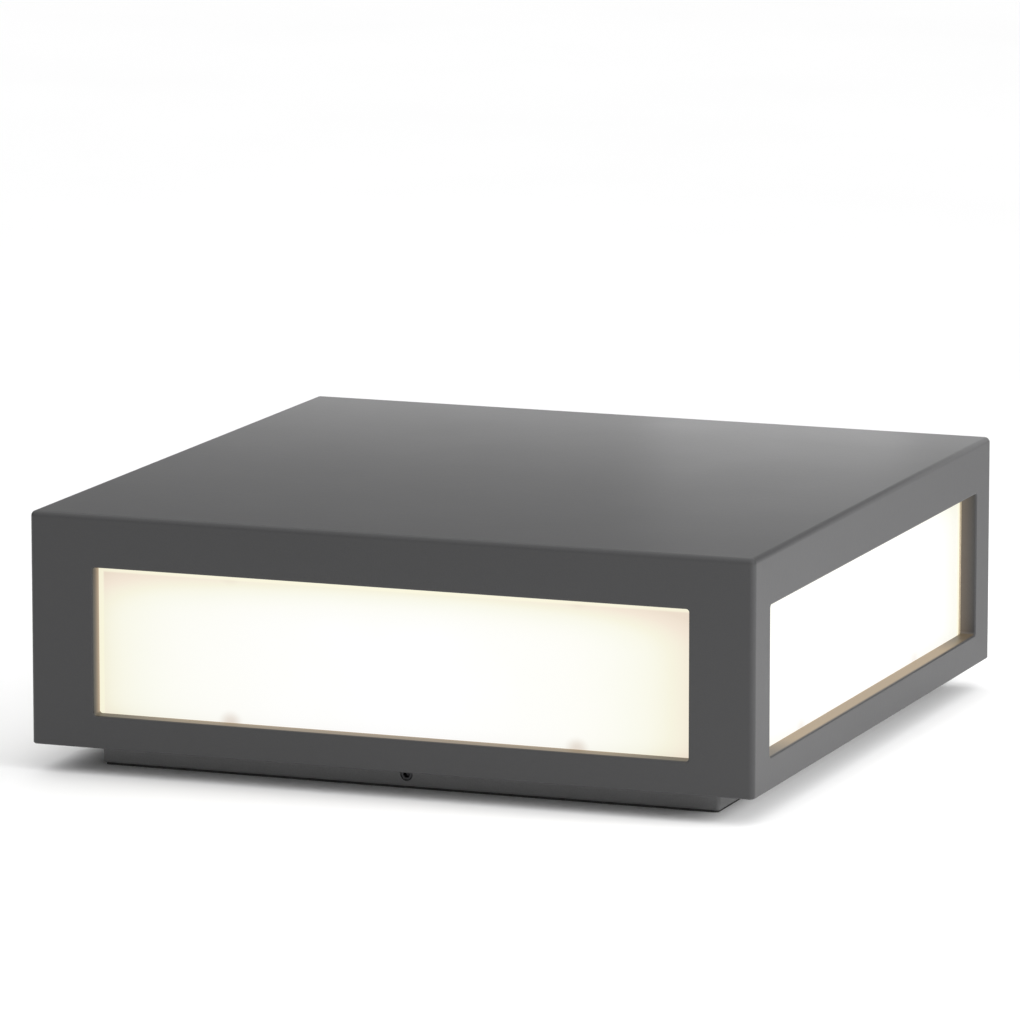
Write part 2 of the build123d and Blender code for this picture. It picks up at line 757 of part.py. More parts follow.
# ---------------------------------------------------------------- base: earth point
crimp_face = Plane(origin=(earth_x, crimp_start, crimp_height), z_dir=(0, -1, 0))
with BuildPart() as earth_ring:
    with BuildSketch(Plane.XY.offset(boss_top)):
        with Locations((earth_x, earth_y)):
            Circle(ring_radius)
        with Locations((earth_x, crimp_start + 2.0)):
            Rectangle(ring_neck, 5.0)
        with Locations((earth_x, earth_y)):
            Circle(m4_clear, mode=Mode.SUBTRACT)
    extrude(amount=ring_sheet)
    with BuildSketch(crimp_face):
        Circle(crimp_radius)
    extrude(amount=crimp_length)
    with BuildSketch(crimp_face):
        Circle(core_radius + thread_gap)
    extrude(amount=crimp_length, mode=Mode.SUBTRACT)
save(earth_ring, "earth_ring")

with BuildPart() as earth_screw:
    with Locations((earth_x, earth_y, boss_top + ring_sheet)):
        add(pan_screw(m4, 4.5))
save(earth_screw, "earth_screw")

# ---------------------------------------------------------------- base: wiring
core_start = terminal_x + terminal_length / 2 - 3.0
core_end = driver_end - 2.0
live_x = 92.0  # the two cores to the driver run side by side here
neutral_x = 84.0
live_wire = tube(
    [
        (core_start, pole_y[0], terminal_bore),
        (live_x, pole_y[0], terminal_bore),
        (live_x, driver_y + core_gap / 2, wire_height),
        (core_end, driver_y + core_gap / 2, wire_height),
    ],
    [16.0, 12.0],
    core_radius,
)
save(live_wire, "live_wire")

neutral_wire = tube(
    [
        (core_start, pole_y[1], terminal_bore),
        (neutral_x, pole_y[1], terminal_bore),
        (neutral_x, driver_y - core_gap / 2, wire_height),
        (core_end, driver_y - core_gap / 2, wire_height),
    ],
    [14.0, 9.0],
    core_radius,
)
save(neutral_wire, "neutral_wire")

earth_wire = tube(
    [
        (core_start, pole_y[2], terminal_bore),
        (earth_x, pole_y[2], crimp_height),
        (earth_x, crimp_start - 1.5, crimp_height),
    ],
    [7.0],
    core_radius,
)
save(earth_wire, "earth_wire")

for name, across in (("positive", lead_gap / 2), ("negative", -lead_gap / 2)):
    led_lead = tube(
        [
            (-core_end, driver_y + across, wire_height),
            (grommet_x, driver_y + across, wire_height),
            (grommet_x, driver_y + across, feed_height),
            (plug_face + 1.5, driver_y + across, feed_height),
        ],
        [7.0, 3.2],
        lead_radius,
    )
    save(led_lead, f"led_lead_{name}")
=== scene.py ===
import json
import math

import bmesh
import bpy
from mathutils import Matrix, Vector


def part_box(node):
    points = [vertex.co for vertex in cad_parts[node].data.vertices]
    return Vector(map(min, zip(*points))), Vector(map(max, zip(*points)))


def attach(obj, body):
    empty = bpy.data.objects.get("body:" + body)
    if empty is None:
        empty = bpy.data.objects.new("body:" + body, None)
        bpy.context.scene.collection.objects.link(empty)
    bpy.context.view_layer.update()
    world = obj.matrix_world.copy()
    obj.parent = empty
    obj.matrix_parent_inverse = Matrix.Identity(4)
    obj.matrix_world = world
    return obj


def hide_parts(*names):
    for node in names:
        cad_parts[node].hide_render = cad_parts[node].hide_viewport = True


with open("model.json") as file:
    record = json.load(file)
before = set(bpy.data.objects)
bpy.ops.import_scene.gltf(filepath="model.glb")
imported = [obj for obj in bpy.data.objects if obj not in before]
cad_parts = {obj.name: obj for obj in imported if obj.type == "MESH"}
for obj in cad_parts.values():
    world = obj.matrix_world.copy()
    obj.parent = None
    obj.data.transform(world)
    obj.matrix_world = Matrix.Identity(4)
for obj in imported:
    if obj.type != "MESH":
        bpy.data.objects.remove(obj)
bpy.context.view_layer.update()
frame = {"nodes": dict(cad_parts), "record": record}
MM = 0.001

# ---------------------------------------------------------------- sizes read from the frame
HOOD_LOW, HOOD_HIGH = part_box("housing")
SEAL_LOW, SEAL_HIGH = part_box("window_seal_front")
LAP = 5.0 * MM  # a window seal reaches this far behind the edge of its opening
SILL = SEAL_LOW.z + LAP
HEAD = SEAL_HIGH.z - LAP
MID_HEIGHT = (SILL + HEAD) / 2
HALF_HEIGHT = (HEAD - SILL) / 2
FRONT_HALF = SEAL_HIGH.x - LAP  # half the width of the front and back openings
SIDE_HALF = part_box("window_seal_right")[1].y - LAP
PANE_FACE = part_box("diffuser_right")[1].x  # outer face of the side diffusers, from the middle
OUTER_FACE = HOOD_HIGH.x
BOARD_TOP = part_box("led_board_front")[1].z
TRAY_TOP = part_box("led_board_front")[0].z
CLIP_OFFSET = 72.0 * MM  # clip screws stand about this far each side of a window's middle
BOARD_OFFSET = 70.0 * MM  # from the middle of the light to the centreline of a lamp board
RAIL_OFFSET = 4.3 * MM  # from a lamp board's centreline to the gap beside its copper areas
CORE_THICKNESS = 1.3 * MM  # of a lamp board's bare aluminium, below its white face

# ---------------------------------------------------------------- camera
AZIMUTH = math.radians(20.70)
ELEVATION = math.radians(10.09)
DISTANCE = 3.208
SIDEWAYS = -0.0053
UPWARDS = 0.0765
LENS = 280.2  # mm, on a 36 mm sensor


def add_camera():
    """The camera, turned about the middle of the hood's underside."""
    back = Vector(
        (
            math.sin(AZIMUTH) * math.cos(ELEVATION),
            -math.cos(AZIMUTH) * math.cos(ELEVATION),
            math.sin(ELEVATION),
        )
    )
    right = Vector((math.cos(AZIMUTH), math.sin(AZIMUTH), 0))
    up = back.cross(right)
    foot = Vector((0, 0, HOOD_LOW.z))
    place = foot + back * DISTANCE + right * SIDEWAYS + up * UPWARDS
    data = bpy.data.cameras.new("camera")
    data.lens = LENS
    data.clip_end = 50.0
    camera = bpy.data.objects.new("camera", data)
    turn = Matrix((right, up, back)).transposed().to_4x4()
    camera.matrix_world = Matrix.Translation(place) @ turn
    bpy.context.scene.collection.objects.link(camera)
    bpy.context.scene.camera = camera


add_camera()

# ---------------------------------------------------------------- studio
SKY_LIGHT = 1.32
SKY_RISE = (0.26, 0.70)  # sines of the heights between which the sky brightens
HORIZON_DIM = 0.05  # towards the back and left
HORIZON_BRIGHT = 0.85  # towards the front and right
BRIGHT_SIDE = (0.6, -0.8, 0.0)
BRIGHT_RISE = (-0.2, 0.6)  # cosines of the angles from the bright side between which the horizon brightens
FLOOR_HALF = 12.0


def add_softbox(name, place, target, size, watts, mirrored=True):
    """A rectangular light, turned from its place to its target. Unless mirrored, it doesn't show in sheen."""
    data = bpy.data.lights.new(name, "AREA")
    data.shape = "RECTANGLE"
    data.size, data.size_y = size
    data.energy = watts
    lamp = bpy.data.objects.new(name, data)
    lamp.location = place
    lamp.rotation_euler = (Vector(target) - Vector(place)).to_track_quat("-Z", "Y").to_euler()
    lamp.visible_camera = False
    lamp.visible_glossy = mirrored
    bpy.context.scene.collection.objects.link(lamp)


def add_world():
    """A white dome that is dim near the horizon behind the light, so that its flat roof stays dark."""
    world = bpy.data.worlds.new("studio")
    world.use_nodes = True
    tree = world.node_tree
    place = tree.nodes.new("ShaderNodeTexCoord")
    split = tree.nodes.new("ShaderNodeSeparateXYZ")
    aside = tree.nodes.new("ShaderNodeVectorMath")
    aside.operation = "DOT_PRODUCT"
    aside.inputs[1].default_value = BRIGHT_SIDE
    horizon = tree.nodes.new("ShaderNodeMapRange")
    ramp = tree.nodes.new("ShaderNodeMapRange")
    limits = {
        horizon: (*BRIGHT_RISE, HORIZON_DIM, HORIZON_BRIGHT),
        ramp: (*SKY_RISE, 0.0, SKY_LIGHT),
    }
    for node, numbers in limits.items():
        node.interpolation_type = "SMOOTHSTEP"
        for socket, number in zip(node.inputs[1:5], numbers):
            socket.default_value = number
    tree.links.new(place.outputs["Generated"], split.inputs[0])
    tree.links.new(place.outputs["Generated"], aside.inputs[0])
    tree.links.new(aside.outputs["Value"], horizon.inputs[0])
    tree.links.new(split.outputs["Z"], ramp.inputs[0])
    tree.links.new(horizon.outputs[0], ramp.inputs[3])
    background = tree.nodes["Background"]
    background.inputs["Color"].default_value = (1.0, 1.0, 1.0, 1.0)
    tree.links.new(ramp.outputs[0], background.inputs["Strength"])
    bpy.context.scene.world = world
    bpy.context.scene.view_settings.view_transform = "Standard"


def add_studio():
    """The world, two strips low behind the light for the sheen on its roof, and a softbox at its right."""
    add_world()
    add_softbox("strip_back", (-0.10, 0.27, 0.138), (-0.10, 0.0, 0.138), size=(0.90, 0.06), watts=0.24)
    add_softbox("strip_glint", (0.0, 0.32, 0.16), (0.0, 0.0, 0.16), size=(0.12, 0.10), watts=0.019)
    place, target = (0.75, -0.20, 0.30), (0.20, 0.0, 0.03)
    add_softbox("softbox_right", place, target, size=(0.5, 0.25), watts=5.0, mirrored=False)


# ---------------------------------------------------------------- material tools
def scaled(colour, factor):
    return tuple(min(1.0, part * factor) for part in colour)


class Look:
    """A material put together from procedural nodes in the row frame, where a unit is a metre."""

    def __init__(self, name):
        self.material = bpy.data.materials.new(name)
        self.material.use_nodes = True
        self.tree = self.material.node_tree
        self.tree.nodes.clear()
        self.place = self.add("ShaderNodeTexCoord").outputs["Object"]

    def add(self, kind, settings=None, **inputs):
        made = self.tree.nodes.new(kind)
        for key, value in (settings or {}).items():
            setattr(made, key, value)
        for key, value in inputs.items():
            self.feed(made.inputs[key.replace("_", " ")], value)
        return made

    def feed(self, socket, value):
        if isinstance(value, bpy.types.NodeSocket):
            self.tree.links.new(value, socket)
        elif isinstance(value, tuple) and len(value) == 3 and socket.type == "RGBA":
            socket.default_value = (*value, 1.0)
        else:
            socket.default_value = value

    def axes(self, source=None):
        """The X, Y and Z parts of the place, or of another vector."""
        return self.add("ShaderNodeSeparateXYZ", Vector=source or self.place).outputs

    def math(self, operation, *values):
        made = self.add("ShaderNodeMath", {"operation": operation})
        for socket, value in zip(made.inputs, values):
            self.feed(socket, value)
        return made.outputs[0]

    def total(self, *values):
        result = values[0]
        for value in values[1:]:
            result = self.math("ADD", result, value)
        return result

    def product(self, *values):
        result = values[0]
        for value in values[1:]:
            result = self.math("MULTIPLY", result, value)
        return result

    def noise(self, scale, detail=3.0, stretch=None):
        place = self.place
        if stretch:
            place = self.add("ShaderNodeMapping", Vector=place, Scale=stretch).outputs[0]
        return self.add("ShaderNodeTexNoise", Vector=place, Scale=scale, Detail=detail).outputs["Fac"]

    def span(self, value, low, high, to_low=0.0, to_high=1.0, smooth=False):
        made = self.add("ShaderNodeMapRange", Value=value)
        made.interpolation_type = "SMOOTHSTEP" if smooth else "LINEAR"
        for socket, number in zip(made.inputs[1:5], (low, high, to_low, to_high)):
            socket.default_value = number
        return made.outputs[0]

    def blend(self, amount, first, second):
        made = self.add("ShaderNodeMix", {"data_type": "RGBA"})
        for socket, value in zip((made.inputs[0], made.inputs[6], made.inputs[7]), (amount, first, second)):
            self.feed(socket, value)
        return made.outputs[2]

    def ramp(self, value, stops):
        made = self.add("ShaderNodeValToRGB", Fac=value)
        elements = made.color_ramp.elements
        while len(elements) < len(stops):
            elements.new(1.0)
        for element, (position, colour) in zip(elements, stops):
            element.position = position
            element.color = (*colour, 1.0)
        return made.outputs["Color"]

    def bump(self, height, distance, strength=0.4):
        return self.add("ShaderNodeBump", Height=height, Distance=distance, Strength=strength).outputs[0]

    def finish(self, **inputs):
        """Connect a Principled shader with these inputs, and return the material."""
        shader = self.add("ShaderNodeBsdfPrincipled", **inputs)
        out = self.add("ShaderNodeOutputMaterial")
        self.tree.links.new(shader.outputs[0], out.inputs["Surface"])
        return self.material


def edge_wear(look, radius):
    """1 on rounded and sharp edges, 0 on flat faces."""
    rounded = look.add("ShaderNodeBevel", {"samples": 4}, Radius=radius).outputs[0]
    flat = look.add("ShaderNodeNewGeometry").outputs["Normal"]
    turned = look.add("ShaderNodeVectorMath", {"operation": "DOT_PRODUCT"})
    look.feed(turned.inputs[0], rounded)
    look.feed(turned.inputs[1], flat)
    return look.span(turned.outputs["Value"], 0.97, 0.80)


def within(look, value, half, soft):
    """1 where a signed value is nearer to 0 than half, 0 further out, with a soft edge."""
    return look.span(look.math("ABSOLUTE", value), half + soft, half - soft)


# ---------------------------------------------------------------- materials of the hood
# Colours of the painted lamp light on the sills and on the jambs of the window openings.
PAINTED_SILL_GLOW = (0.32, 0.215, 0.095)
PAINTED_JAMB_GLOW = (0.375, 0.27, 0.172)
# For the front and back openings, then for the side ones: the axis that runs into them, the axis along them,
# half their width, how much the painted lamp light on their jambs brightens towards the pane,
# and how evenly the painted lamp light lies on their sills.
RECESSES = (("Y", "X", FRONT_HALF, 4.0, 0.5), ("X", "Y", SIDE_HALF, 0.0, 0.85))


def painted_recess_glow(look, flat):
    """Painted lamp light on the sides of the window openings, standing in for the panes' glow: fairly even on
    sills, fading outwards on jambs.
    """
    place = look.axes()
    off_middle = look.math("SUBTRACT", place["Z"], MID_HEIGHT)
    tall = within(look, off_middle, HALF_HEIGHT + 0.3 * MM, 0.2 * MM)
    glow = []
    upright = look.math("SUBTRACT", 1.0, flat)
    for inwards, along, half, extra, evenness in RECESSES:
        deep = look.math("ABSOLUTE", place[inwards])
        even = look.span(deep, OUTER_FACE - 0.2 * MM, OUTER_FACE - 1.2 * MM, 0.0, evenness)
        even = look.product(even, flat)
        fade = look.math("MAXIMUM", look.span(deep, OUTER_FACE - 0.5 * MM, PANE_FACE), even)
        inside = look.span(deep, PANE_FACE - 1.5 * MM, PANE_FACE - 1.2 * MM)
        beside = within(look, place[along], half + 0.3 * MM, 0.2 * MM)
        ends = look.span(look.math("ABSOLUTE", place[along]), 0.72 * half, 0.92 * half, 1.0, 0.30)
        stronger = look.total(look.product(upright, fade, extra), 1.0)
        glow.append(look.product(fade, inside, tall, beside, ends, stronger))
    return look.math("MAXIMUM", *glow)


def powder_coat(name, colour, lit=False):
    """Fine-textured satin powder coat: orange peel, faint mottling and slightly polished edges, and, if lit,
    painted lamp light on the sides of the window openings.
    """
    look = Look(name)
    mottle = look.span(look.noise(22.0, 4.0), 0.3, 0.7)
    grain = look.span(look.noise(2600.0, 2.0), 0.35, 0.65)
    worn = look.product(edge_wear(look, 1.2 * MM), look.span(look.noise(160.0), 0.45, 0.7))
    base = look.blend(mottle, scaled(colour, 0.97), scaled(colour, 1.03))
    base = look.blend(grain, base, scaled(colour, 1.14))
    base = look.blend(look.product(worn, 0.2), base, scaled(colour, 1.8))
    rough = look.total(look.span(mottle, 0.0, 1.0, 0.415, 0.43), look.product(worn, -0.04))
    peel = look.total(look.noise(1100.0, 2.0), look.product(look.noise(260.0, 1.0), 0.7))
    more = {}
    # Painted lamp light: a warm emission on the sides of the window openings, where the lit panes would throw
    # light.
    if lit:
        up = look.axes(look.add("ShaderNodeNewGeometry").outputs["Normal"])["Z"]
        flat = look.span(up, 0.3, 0.9)
        painted_glow_tint = look.blend(flat, PAINTED_JAMB_GLOW, PAINTED_SILL_GLOW)
        more = {"Emission_Color": painted_glow_tint, "Emission_Strength": painted_recess_glow(look, flat)}
    return look.finish(Base_Color=base, Roughness=rough, Normal=look.bump(peel, 0.1 * MM, 0.3), **more)


# How the colour of a lit diffuser changes from its middle to its top corners.
OPAL_STOPS = (
    (0.00, (0.955, 0.955, 0.955)),
    (0.05, (0.942, 0.941, 0.915)),
    (0.12, (0.933, 0.930, 0.875)),
    (0.22, (0.908, 0.907, 0.815)),
    (0.30, (0.897, 0.888, 0.770)),
    (0.40, (0.876, 0.852, 0.698)),
    (0.62, (0.850, 0.750, 0.628)),
    (0.90, (0.790, 0.680, 0.560)),
)
SCREW_SHADOW = (0.60, 0.49, 0.405)
SHADOW_WIDTH = 5.5 * MM  # half of it, like the height
SHADOW_HEIGHT = 5.0 * MM
# Colour of the painted highlight along a lit pane's ends and under its top edge.
BORDER_LIGHT = (0.93, 0.91, 0.71)


def opal(name, across, half_width, fall, shift=0.0):
    """Opal diffuser lit from inside: white in the middle, cream at its ends and along the top.

    The fall is how far it darkens there, and the shift moves its bright middle along it.
    """
    look = Look(name)
    place = look.axes()
    aside = look.math("ABSOLUTE", place[across])
    off_middle = look.math("ABSOLUTE", look.math("SUBTRACT", place[across], shift * half_width))
    sideways = look.math("DIVIDE", off_middle, half_width)
    upwards = look.math("DIVIDE", look.math("SUBTRACT", place["Z"], MID_HEIGHT), HALF_HEIGHT)
    end = look.total(
        look.product(look.math("POWER", sideways, 2.0), 0.5),
        look.product(look.math("POWER", sideways, 8.0), 0.5),
    )
    high = look.math("POWER", look.math("MAXIMUM", upwards, 0.0), 4.0)
    low = look.math("POWER", look.math("MAXIMUM", look.product(upwards, -1.0), 0.0), 8.0)
    cloud = look.span(look.noise(30.0, 2.0), 0.3, 0.7, -0.012, 0.012)
    fade = look.total(
        look.product(end, 0.50),
        look.product(high, 0.62),
        look.product(end, high, 0.25),
        look.product(end, low, 0.12),
        cloud,
    )
    fade = look.product(fade, fall)
    glow = look.ramp(fade, OPAL_STOPS)
    # The heads of the clip screws behind the pane shade it softly, a little away from its bright part.
    from_screws = look.math("ABSOLUTE", look.math("ADD", place[across], shift * half_width))
    for level, depth in ((SILL, 0.55 * fall), (HEAD, 0.3 * fall)):
        beside = look.math("DIVIDE", look.math("SUBTRACT", from_screws, CLIP_OFFSET), SHADOW_WIDTH)
        above = look.math("DIVIDE", look.math("SUBTRACT", place["Z"], level), SHADOW_HEIGHT)
        far = look.math("SQRT", look.total(look.product(beside, beside), look.product(above, above)))
        glow = look.blend(look.span(far, 0.1, 1.1, depth, 0.0, smooth=True), glow, SCREW_SHADOW)
    # Painted highlight: a bright line along the pane's ends and under its top edge.
    painted_border = look.math(
        "MAXIMUM",
        look.span(aside, half_width - 2.0 * MM, half_width - 1.4 * MM, 0.0, 0.8),
        look.span(place["Z"], HEAD - 3.0 * MM, HEAD - 2.2 * MM, 0.0, 0.8),
    )
    glow = look.blend(painted_border, glow, BORDER_LIGHT)
    grain = look.noise(2200.0, 2.0)
    return look.finish(
        Base_Color=look.blend(grain, (0.028, 0.027, 0.024), (0.034, 0.033, 0.030)),
        Roughness=look.span(grain, 0.3, 0.7, 0.34, 0.42),
        Normal=look.bump(grain, 0.02 * MM),
        Emission_Color=glow,
        Emission_Strength=0.98,
    )


# ---------------------------------------------------------------- materials of the fittings
def moulded(name, colour, rough=0.5, grain=1500.0, depth=0.04 * MM, spread=0.08):
    """Moulded plastic or rubber with a fine spark-eroded grain and slight variation in colour."""
    look = Look(name)
    cloud = look.span(look.noise(70.0, 3.0), 0.3, 0.7)
    base = look.blend(cloud, scaled(colour, 1 - spread), scaled(colour, 1 + spread))
    relief = look.noise(grain, 2.0)
    level = look.span(relief, 0.3, 0.7, rough - 0.05, rough + 0.06)
    return look.finish(Base_Color=base, Roughness=level, Normal=look.bump(relief, depth, 0.5))


def metal(name, colour, rough, stretch=None, tarnish=0.12):
    """Bare or plated metal with drawn or tumbled marks and a little tarnish."""
    look = Look(name)
    marks = look.noise(900.0, 3.0, stretch)
    stain = look.span(look.noise(120.0, 4.0), 0.4, 0.75)
    base = look.blend(stain, colour, scaled(colour, 1 - tarnish))
    level = look.total(look.span(marks, 0.3, 0.7, rough - 0.06, rough + 0.08), look.product(stain, 0.06))
    return look.finish(Base_Color=base, Metallic=1.0, Roughness=level, Normal=look.bump(marks, 0.01 * MM))


def white_paint(name):
    """Matt white reflector paint on sheet steel, with fine stipple and a faint warm cast."""
    look = Look(name)
    cloud = look.span(look.noise(18.0, 3.0), 0.3, 0.7)
    base = look.blend(cloud, (0.74, 0.74, 0.72), (0.79, 0.79, 0.78))
    worn = look.product(edge_wear(look, 0.6 * MM), look.span(look.noise(210.0), 0.5, 0.7))
    base = look.blend(look.product(worn, 0.5), base, (0.42, 0.42, 0.42))
    stipple = look.noise(1400.0, 2.0)
    level = look.span(stipple, 0.3, 0.7, 0.55, 0.65)
    return look.finish(Base_Color=base, Roughness=level, Normal=look.bump(stipple, 0.05 * MM))


def solder_mask(name, along, across, pitch):
    """White solder mask over copper: the etched gaps between the copper areas show as fine grooves."""
    look = Look(name)
    place = look.axes()
    off_centre = look.math("SUBTRACT", look.math("ABSOLUTE", place[across]), BOARD_OFFSET)
    off_rail = look.math("SUBTRACT", look.math("ABSOLUTE", off_centre), RAIL_OFFSET)
    rail = within(look, off_rail, 0.12 * MM, 0.05 * MM)
    position = look.math("FRACT", look.math("DIVIDE", place[along], pitch))
    cell = look.math("ABSOLUTE", look.math("SUBTRACT", position, 0.5))
    cut = look.product(within(look, cell, 0.010, 0.004), within(look, off_centre, RAIL_OFFSET, 0.02 * MM))
    groove = look.math("MAXIMUM", rail, cut)
    weave = look.noise(900.0, 2.0)
    cloud = look.span(look.noise(45.0, 2.0), 0.35, 0.65)
    base = look.blend(cloud, (0.76, 0.76, 0.73), (0.80, 0.80, 0.78))
    base = look.blend(look.product(groove, 0.55), base, (0.42, 0.44, 0.40))
    core = look.span(place["Z"], TRAY_TOP + CORE_THICKNESS, TRAY_TOP + CORE_THICKNESS + 0.1 * MM, 1.0, 0.0)
    base = look.blend(core, base, (0.50, 0.50, 0.52))
    height = look.total(look.product(groove, -1.0), look.product(weave, 0.3))
    level = look.span(weave, 0.3, 0.7, 0.28, 0.38)
    return look.finish(Base_Color=base, Roughness=level, Normal=look.bump(height, 0.05 * MM))


def striped(name, first, second):
    """Wire insulation with a stripe that runs round it in a slow spiral."""
    look = Look(name)
    place = look.axes()
    along = look.math("DIVIDE", look.total(place["X"], place["Y"]), 12.0 * MM)
    turn = look.total(along, look.product(place["Z"], 260.0))
    stripe = look.span(look.math("FRACT", turn), 0.51, 0.55)
    grain = look.noise(1200.0, 2.0)
    level = look.span(grain, 0.3, 0.7, 0.32, 0.42)
    return look.finish(
        Base_Color=look.blend(stripe, first, second),
        Roughness=level,
        Normal=look.bump(grain, 0.02 * MM),
    )


def lit_phosphor(name):
    """Phosphor in a silicone lens, glowing warm white."""
    look = Look(name)
    grain = look.noise(4000.0, 2.0)
    return look.finish(
        Base_Color=look.blend(grain, (0.90, 0.66, 0.16), (0.95, 0.76, 0.28)),
        Roughness=look.span(grain, 0.3, 0.7, 0.2, 0.3),
        Normal=look.bump(grain, 0.02 * MM),
        Emission_Color=look.blend(grain, (1.0, 0.84, 0.52), (1.0, 0.92, 0.68)),
        Emission_Strength=2.2,
    )


LOOKS = {
    "powder_coat": powder_coat("powder_coat", (0.028, 0.028, 0.029), lit=True),
    # Painted light: the plinth has the hood's dark coat, given a lighter colour here so that it looks lit in
    # the shade under the hood's overhang.
    "plinth_coat": powder_coat("plinth_coat", (0.125, 0.125, 0.126)),
    "silicone": moulded("silicone", (0.62, 0.52, 0.40), 0.55),
    "rubber": moulded("rubber", (0.022, 0.022, 0.022), 0.75, 1100.0, 0.06 * MM),
    "spring_steel": metal("spring_steel", (0.62, 0.61, 0.60), 0.30, (1.0, 14.0, 1.0)),
    "zinc_steel": metal("zinc_steel", (0.68, 0.69, 0.71), 0.28),
    "black_steel": metal("black_steel", (0.10, 0.10, 0.105), 0.45, tarnish=0.3),
    "white_sheet": white_paint("white_sheet"),
    "driver_plastic": moulded("driver_plastic", (0.74, 0.74, 0.72), 0.45, 1300.0, 0.05 * MM, 0.03),
    "black_nylon": moulded("black_nylon", (0.025, 0.025, 0.026), 0.5),
    "terminal_nylon": moulded("terminal_nylon", (0.70, 0.67, 0.58), 0.42, spread=0.04),
    "brass": metal("brass", (0.78, 0.58, 0.26), 0.25, (14.0, 1.0, 1.0)),
    "tinned_copper": metal("tinned_copper", (0.74, 0.70, 0.64), 0.3),
    "brown_wire": moulded("brown_wire", (0.14, 0.055, 0.03), 0.38, spread=0.1),
    "blue_wire": moulded("blue_wire", (0.03, 0.13, 0.42), 0.38, spread=0.1),
    "green_yellow_wire": striped("green_yellow_wire", (0.05, 0.30, 0.05), (0.75, 0.62, 0.03)),
    "red_wire": moulded("red_wire", (0.50, 0.02, 0.02), 0.38, spread=0.1),
    "black_wire": moulded("black_wire", (0.02, 0.02, 0.02), 0.38, spread=0.1),
    "led_phosphor": lit_phosphor("led_phosphor"),
}
OPAL = {
    "front": opal("opal_front", "X", FRONT_HALF, 1.0, -0.03),
    "back": opal("opal_back", "X", FRONT_HALF, 1.0),
    "left": opal("opal_left", "Y", SIDE_HALF, 0.35),
    "right": opal("opal_right", "Y", SIDE_HALF, 0.35),
}
LONG_BOARD = solder_mask("led_board_long", "X", "Y", 15.0 * MM)
SHORT_BOARD = solder_mask("led_board_short", "Y", "X", 13.0 * MM)
BOARD = {"front": LONG_BOARD, "back": LONG_BOARD, "left": SHORT_BOARD, "right": SHORT_BOARD}


def paint(piece, material):
    piece.data.materials.clear()
    piece.data.materials.append(material)


def paint_frame():
    """Give every CAD node the material of its slot in the record."""
    for row in frame["record"]["subparts"]:
        slot = row["material_slot"]
        side = row["node"].rsplit("_", 1)[-1]
        if slot == "opal_diffuser":
            material = OPAL[side]
        elif slot == "led_board":
            material = BOARD[side]
        else:
            material = LOOKS[slot]
        shown = frame["nodes"][row["node"]]
        if not shown.material_slots:
            shown.data.materials.append(material)
        for place in shown.material_slots:
            place.material = material


# ---------------------------------------------------------------- tools for the pieces made here
SHARP_ANGLE = math.radians(38)
WELD = 0.001 * MM


def solids_of(node):
    """The lowest and highest corner of each separate solid of a CAD node."""
    mesh = bmesh.new()
    mesh.from_mesh(frame["nodes"][node].data)
    bmesh.ops.remove_doubles(mesh, verts=mesh.verts, dist=WELD)
    waiting = set(mesh.verts)
    boxes = []
    while waiting:
        front = [waiting.pop()]
        places = []
        while front:
            point = front.pop()
            places.append(tuple(point.co))
            near = {line.other_vert(point) for line in point.link_edges} & waiting
            waiting -= near
            front.extend(near)
        boxes.append((Vector(map(min, *places)), Vector(map(max, *places))))
    mesh.free()
    return sorted(boxes, key=lambda box: [round(part, 6) for part in box[0]])


def ring(middle, half_x, half_y, level, power=2.0, count=24):
    """A closed level ring of points: an ellipse at a power of 2, and squarer above that."""
    points = []
    for step in range(count):
        angle = math.tau * (step + 0.5) / count
        circle = (math.cos(angle), math.sin(angle))
        x, y = (math.copysign(abs(part) ** (2 / power), part) for part in circle)
        points.append((middle.x + half_x * x, middle.y + half_y * y, level))
    return points


def skin(mesh, rings, capped=True):
    """Faces between successive rings of points, and over the two ends."""
    rows = [[mesh.verts.new(point) for point in points] for points in rings]
    for first, second in zip(rows, rows[1:]):
        for step in range(len(first)):
            mesh.faces.new((first[step - 1], first[step], second[step], second[step - 1]))
    if capped:
        mesh.faces.new(rows[0])
        mesh.faces.new(rows[-1])


def add_piece(name, mesh, slot, body, *replaced):
    """Turn a bmesh into a piece with its slot's material, which moves with a body."""
    bmesh.ops.remove_doubles(mesh, verts=mesh.verts, dist=WELD)
    bmesh.ops.recalc_face_normals(mesh, faces=mesh.faces)
    for face in mesh.faces:
        face.smooth = True
    data = bpy.data.meshes.new(name)
    mesh.to_mesh(data)
    mesh.free()
    data.set_sharp_from_angle(angle=SHARP_ANGLE)
    piece = bpy.data.objects.new(name, data)
    bpy.context.scene.collection.objects.link(piece)
    paint(piece, LOOKS[slot])
    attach(piece, body)
    if replaced:
        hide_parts(*replaced)


# ---------------------------------------------------------------- lamp boards: LED packages and solder
# Each row is how far in from the package's side, the share of its height, and how square the ring is.
BOXY = 12.0
PACKAGE_RINGS = ((0.03, 0.0, BOXY), (0.0, 0.1, BOXY), (0.0, 0.8, BOXY), (0.06, 0.96, BOXY), (0.13, 1.0, BOXY))
CUP_RINGS = ((0.20, 1.0, 3.0), (0.24, 0.96, 3.0), (0.40, 0.5, 3.0))
LENS_RINGS = ((0.30, 0.70, 3.0), (0.50, 0.76, 2.6), (0.85, 0.81, 2.2), (1.20, 0.83, 2.0))
